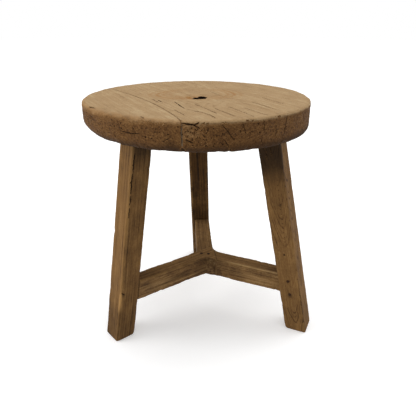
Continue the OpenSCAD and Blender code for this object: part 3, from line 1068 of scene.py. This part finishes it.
def leg_masks(name, leg, points, normals, edge):
    x, y, z = points.T
    # Darker towards the seat: stains, and painted shade under the seat
    near_seat = smooth(z, SEAT_LOW - 62, SEAT_LOW - 6)
    stain_and_shade = 0.25 * near_seat + 0.5 * smooth(z, SEAT_LOW - 16, SEAT_LOW)
    pale = np.zeros(len(points))
    worn = np.full(len(points), 0.45)
    if name == "left":
        outer = smooth(normals[:, 0], 0.3, 0.8)
        # The outer face is made paler higher up and less dark near the seat: partly wear, partly painted
        # light from the left
        worn = worn + 0.6 * outer * smooth(z, 20, 150)
        stain_and_shade -= 0.2 * near_seat * outer
        stain_and_shade += 0.7 * blob(points, (leg["d"] / 2 - 3, leg["w"] / 2, 80), (5, 4, 4))
        stain_and_shade += 0.5 * smooth(y, 10, 16) * near_seat
        # A paler arris, most in a band above the foot: rubbed wood and a painted highlight
        arris = blob(points[:, :2], (leg["d"] / 2, leg["w"] / 2), (3.4, 3.4))
        pale += (0.95 * smooth(-z, -90, -78) * smooth(z, 48, 58) + 0.35) * arris
        stain_and_shade += 0.34 * smooth(-z, -110, -20) + 0.5 * edge * (x > 0) * (y < 0) * smooth(-z, -60, -20)
    elif name == "right":
        worn = worn + 0.15
        stain_and_shade += 0.9 * smooth(z, SEAT_LOW - 112, SEAT_LOW - 10) * smooth(-y, 10, 16)
        stain_and_shade += 0.6 * blob(points, (0, -18, 65), (5, 4, 5))
        stain_and_shade += 0.3 * smooth(-z, -70, -10) * edge * (y < 0) * (x > 0)
        stain_and_shade += 0.25 * smooth(-z, -100, -20) * smooth(normals[:, 0], 0.3, 0.8)
    else:
        # Darker than the other legs and less worn higher up: partly its own colour, partly painted shade
        # under the seat; and a dark line down its inner face
        worn = worn - 0.35 + 0.25 * smooth(-z, -240, -140)
        stain_and_shade += 0.2 + 0.5 * np.exp(-((y - 2) / 2.2) ** 2) * smooth(z, 150, 190) * (x < 0)
    return {"worn": worn, "edge": edge, "stain_and_shade": stain_and_shade, "pale": pale}


LEG_LOOKS = {
    "left": dict(ring=3.4),
    "right": dict(
        ring=2.3, taper=-0.14, wander=6.5, uneven=4.5, late_from=0.62,
        figure=(0.5, 0.6, 0.6, 0.35, 0.5, 0.2, 0.4),
    ),
    # The back leg's darker old colours are partly its own, partly painted shade under the seat
    "back": dict(ring=3.6, old_dark=rgb(34, 21, 8), old_mid=rgb(66, 43, 17), old_light=rgb(96, 65, 29)),
}
# The pith's place across each leg, in the leg's own frame
LEG_PITHS = {"left": (-30, 46), "right": (3, -5), "back": (20, 30)}


def make_leg(name):
    leg = LEGS[name]
    matrix = leg_matrix(leg)
    look = dict(LEG_LOOK, **LEG_LOOKS[name])
    material = wood("leg_wood_" + name, leg_place(matrix, LEG_PITHS[name]), look)
    out_x, out_y = leg["d"] / 2 + 2.5, leg["w"] / 2 + 2.5
    lo, hi = (-out_x, -out_y, -8), (out_x, out_y, LEG_REACH + 4)
    step = 1.2
    points, normals, quads, edge = worn_surface(leg_field(leg, matrix), leg_relief(leg), lo, hi, step)
    masks = leg_masks(name, leg, points, normals, edge)
    piece = make_object("leg_timber_" + name, points, quads, material, masks, matrix)
    node = "leg_" + name
    combine(piece, cad_copy(node, material), "INTERSECT")
    shapes = [
        crack_shape(path, flat_normals(normal), width, depth, 300 + i, spacing=1.1, wander=0.45)
        for i, (path, normal, width, depth) in enumerate(leg_cracks(name, leg))
    ]
    if name == "right":
        # A worm hole, and a row of small pits
        side = -leg["w"] / 2 + 0.3
        shapes.append(pit_shape((0, side, 137), (0, -1, 0), 1.1, 4, 9))
        for k in range(14):
            place = (5.5 - 0.12 * k, side, 256 - 7.5 * k)
            shapes.append(pit_shape(place, (0, -1, 0), 0.45, 0.8, 20 + k, sides=6))
    cut_in_turns(piece, shapes, crack_dark, matrix)
    shade(piece)
    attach(piece, "root")
    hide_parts(node)


for leg_name in LEGS:
    make_leg(leg_name)


# ---- Stretcher ----

def stretcher_plan(plan):
    """Distance in plan to the Y of three arms, for points from the stretcher's centre."""
    nearest = None
    blend = 16.0
    for arm in ARMS.values():
        direction = heading(arm["az"])
        along = plan @ direction
        across = np.abs(plan[:, 0] * direction[1] - plan[:, 1] * direction[0]) - arm["w"] / 2 + SKIN
        bar = np.maximum(np.maximum(across, -along - arm["w"] / 2), along - ARM_REACH)
        if nearest is None:
            nearest = bar
        else:
            h = np.clip(0.5 + 0.5 * (nearest - bar) / blend, 0, 1)
            nearest = nearest * (1 - h) + bar * h - blend * h * (1 - h)
    return nearest


def stretcher_field(points):
    plan = points[:, :2] - HUB_CENTRE
    away = np.hypot(plan[:, 0], plan[:, 1])
    top = ARM_TOP - SKIN - 0.4 * np.exp(-(away / 40) ** 2)
    wear = 0.5 * ripple(plan, 40, 51) + 0.3 * ripple(plan, 12, 52)
    top_round = np.clip(1.6 + wear, 0.9, 5)
    low_round = np.clip(1.6 + wear + 3.2 * np.exp(-(away / 30) ** 2), 0.9, 9)
    middle = (ARM_LOW + ARM_TOP) / 2
    return slab(stretcher_plan(plan), points[:, 2], ARM_LOW + SKIN, top, low_round, top_round, middle)


def stretcher_relief(points, normals):
    hewn = 0.03 + 0.08 * ripple(points, (30, 30, 16), 53)
    fine = 0.04 + 0.05 * ripple(points, 5, 54) + 0.03 * ripple(points, 2.8, 55)
    bites = 0.8 * np.maximum(ripple(points, 12, 56) - 1.7, 0)
    return np.clip(hewn, 0, None) + fine + bites


def stretcher_masks(name, points, normals, edge):
    plan = points[:, :2] - HUB_CENTRE
    z = points[:, 2]
    direction = heading(ARMS[name]["az"])
    along = plan @ direction
    side_view = np.stack([along, z], 1)
    top = smooth(normals[:, 2], 0.5, 0.9)
    worn = np.full(len(points), 0.45)
    stain_and_shade = 0.25 * smooth(-np.abs(plan[:, 0] - HUB_SHOULDER), -1.6, -0.4) * (plan[:, 1] < 8)
    pale = np.zeros(len(points))
    side = smooth(-normals[:, 1], 0.4, 0.8)
    if name == "left":
        stain_and_shade += 0.55 * side * blob(side_view, (62, 76), (26, 4))
        stain_and_shade += 0.4 * side * blob(side_view, (88, 72), (16, 3))
        stain_and_shade += 0.5 * side * blob(plan, (-3, -15), (6, 6))
        pale += 0.2 * side * blob(side_view, (100, 74), (22, 9))
    elif name == "right":
        across = plan @ quarter_turn(direction)
        # A painted highlight along the upper front arris, and paler weathering on the side
        arris = blob(np.stack([across, z], 1), (-ARMS[name]["w"] / 2, ARM_TOP), (1.9, 1.9))
        pale += 0.9 * arris * smooth(along, 26, 50) + 0.2 * side * blob(side_view, (95, 76), (30, 6))
        stain_and_shade += 0.35 * side * blob(side_view, (50, 78), (20, 3))
    else:
        stain_and_shade += 0.15
        worn = worn - 0.5 * top
    # Tops made paler: partly wear, partly painted light where the seat shades them
    return {"worn": worn + 0.6 * top, "edge": edge, "stain_and_shade": stain_and_shade, "pale": pale}


def arm_place(name):
    """The grain's frame in an arm: the grain runs along it, with the pith below and to one side."""
    direction = heading(ARMS[name]["az"])
    origin = Vector((*(HUB_CENTRE + 34 * quarter_turn(direction)), ARM_LOW - 22))
    return grain_matrix(origin, (*direction, 0), (0, 0, 1))


def make_stretcher():
    lo = (HUB_X - 156, HUB_Y - 100, ARM_LOW - 3)
    hi = (HUB_X + 156, HUB_Y + 168, ARM_TOP + 3)
    step = 1.35
    points, normals, quads, edge = worn_surface(stretcher_field, stretcher_relief, lo, hi, step)
    for name in ARMS:
        material = wood("stretcher_wood_" + name, arm_place(name), STRETCHER_LOOK)
        masks = stretcher_masks(name, points, normals, edge)
        piece = make_object("stretcher_bar_" + name, points, quads, material, masks)
        node = "stretcher_" + name + "_arm"
        combine(piece, cad_copy(node, material), "INTERSECT")
        line = [(HUB_X + HUB_SHOULDER, HUB_Y + y, ARM_TOP - 0.5) for y in (-24, 4)]
        shape = crack_shape(line, UPWARD, 0.6, 0.8, 61, wander=0.1, blunt=0.7)
        cut_with(piece, [shape], crack_soft)
        shade(piece)
        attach(piece, "root")
        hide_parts(node)


make_stretcher()


# ---- Pegs, dowels and wedges ----

def cad_wood(node, look, shift, along, outward):
    """A CAD node that stays as it is, with a wood finish whose pith lies `shift` from its middle."""
    lo, hi = node_box(node)
    place = grain_matrix(Vector((lo + hi) / 2) + Vector(shift), along, outward)
    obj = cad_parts[node]
    obj.data.materials.clear()
    obj.data.materials.append(wood(node + "_wood", place, look))


for node in sorted(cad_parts):
    if node.startswith("hub_peg"):
        cad_wood(node, PEG_LOOK, (1.2, 0.6, 0.4), (0, 0, 1), (1, 0, 0))
    elif "peg" in node:
        cad_wood(node, PEG_LOOK, (1.2, 0.6, 0.4), (0.5, 0.8, 0), (0, 0, 1))
    elif "dowel" in node:
        cad_wood(node, HIDDEN_LOOK, (9, 12, 8), (*SEAM_HEADING, 0), (0.3, 0.9, 0.1))
    elif "wedge" in node:
        cad_wood(node, HIDDEN_LOOK, (9, 12, 8), (0, 0, 1), (0.3, 0.9, 0.1))


# ---- Floor, light and camera ----

FLOOR_R = 9000


def make_floor():
    """A wide, flat, pale floor that grows brighter far out, to meet the white surroundings."""
    rings, sides = 24, 96
    points, faces = [(0, 0, 0)], []
    for i in range(1, rings + 1):
        r = FLOOR_R * (i / rings) ** 2
        for j in range(sides):
            a = 2 * math.pi * j / sides
            points.append((r * math.cos(a), r * math.sin(a), 0))
    for j in range(sides):
        faces.append([0, 1 + j, 1 + (j + 1) % sides])
    for i in range(rings - 1):
        for j in range(sides):
            a, b = 1 + i * sides + j, 1 + i * sides + (j + 1) % sides
            faces.append([a, a + sides, b + sides, b])
    s = Shader("floor_pale")
    place = s.millimetres()
    cloud = s.noise(place, 900, 900)
    s.paint("Base Color", s.mix(cloud, (0.8, 0.8, 0.8, 1), (0.84, 0.84, 0.84, 1)))
    s.paint("Roughness", 0.9)
    s.paint("Specular IOR Level", 0.0)
    s.paint("Emission Color", (1, 1, 1, 1))
    s.paint("Emission Strength", s.ramp(s.vector("LENGTH", place), 300, 2200, 0.35, 0.62))
    floor = make_object("floor", points, faces, s.material)
    shade(floor)


def soft_box(name, place, target, size, power):
    light = bpy.data.lights.new(name, "AREA")
    light.shape = "RECTANGLE"
    light.size, light.size_y = size
    light.energy = power
    obj = add_object(name, light)
    obj.location = place
    obj.rotation_euler = (Vector(target) - Vector(place)).to_track_quat("-Z", "Y").to_euler()


# How strongly the white surroundings light the stool; the camera sees them pure white
WORLD_FILL = 0.5


def make_world():
    world = bpy.data.worlds.new("studio")
    bpy.context.scene.world = world
    world.use_nodes = True
    tree = world.node_tree
    seen = tree.nodes["Background"]
    seen.inputs["Color"].default_value = (1, 1, 1, 1)
    fill_light = tree.nodes.new("ShaderNodeBackground")
    fill_light.inputs["Color"].default_value = (1, 1, 1, 1)
    fill_light.inputs["Strength"].default_value = WORLD_FILL
    path = tree.nodes.new("ShaderNodeLightPath")
    mix = tree.nodes.new("ShaderNodeMixShader")
    tree.links.new(path.outputs["Is Camera Ray"], mix.inputs[0])
    tree.links.new(fill_light.outputs[0], mix.inputs[1])
    tree.links.new(seen.outputs[0], mix.inputs[2])
    tree.links.new(mix.outputs[0], tree.nodes["World Output"].inputs["Surface"])


make_floor()
make_world()
soft_box("light_above", (0.1, 0.25, 1.9), (0, 0, 0.3), (1.6, 1.6), 22)
soft_box("light_left", (-1.7, -0.2, 0.9), (0, 0, 0.25), (1.2, 1.4), 16)
soft_box("light_right", (1.8, 0.1, 0.9), (0, 0, 0.25), (1.2, 1.4), 8)

CAMERA_TURN = math.radians(-6.15)
CAMERA_PITCH = math.radians(23.891)
CAMERA_ROLL = math.radians(0.124)
# The camera's place from the seat's centre before it turns, right and forward, and its height, in metres
CAMERA_OFFSET = Vector((0.016805, -0.659646, 0))
CAMERA_HEIGHT = 0.469803
# Focal length in widths of the picture
FOCAL = 1.0576923

camera = add_object("camera", bpy.data.cameras.new("camera"))
turn = Matrix.Rotation(CAMERA_TURN, 4, "Z")
offset = turn @ CAMERA_OFFSET
position = Vector((SEAT_X * MM + offset.x, SEAT_Y * MM + offset.y, CAMERA_HEIGHT))
camera.matrix_world = (
    Matrix.Translation(position)
    @ turn
    @ Matrix.Rotation(math.radians(90) - CAMERA_PITCH, 4, "X")
    @ Matrix.Rotation(CAMERA_ROLL, 4, "Z")
)
camera.data.sensor_width = 36
camera.data.lens = 36 * FOCAL
bpy.context.scene.camera = camera
bpy.context.scene.view_settings.view_transform = "Standard"
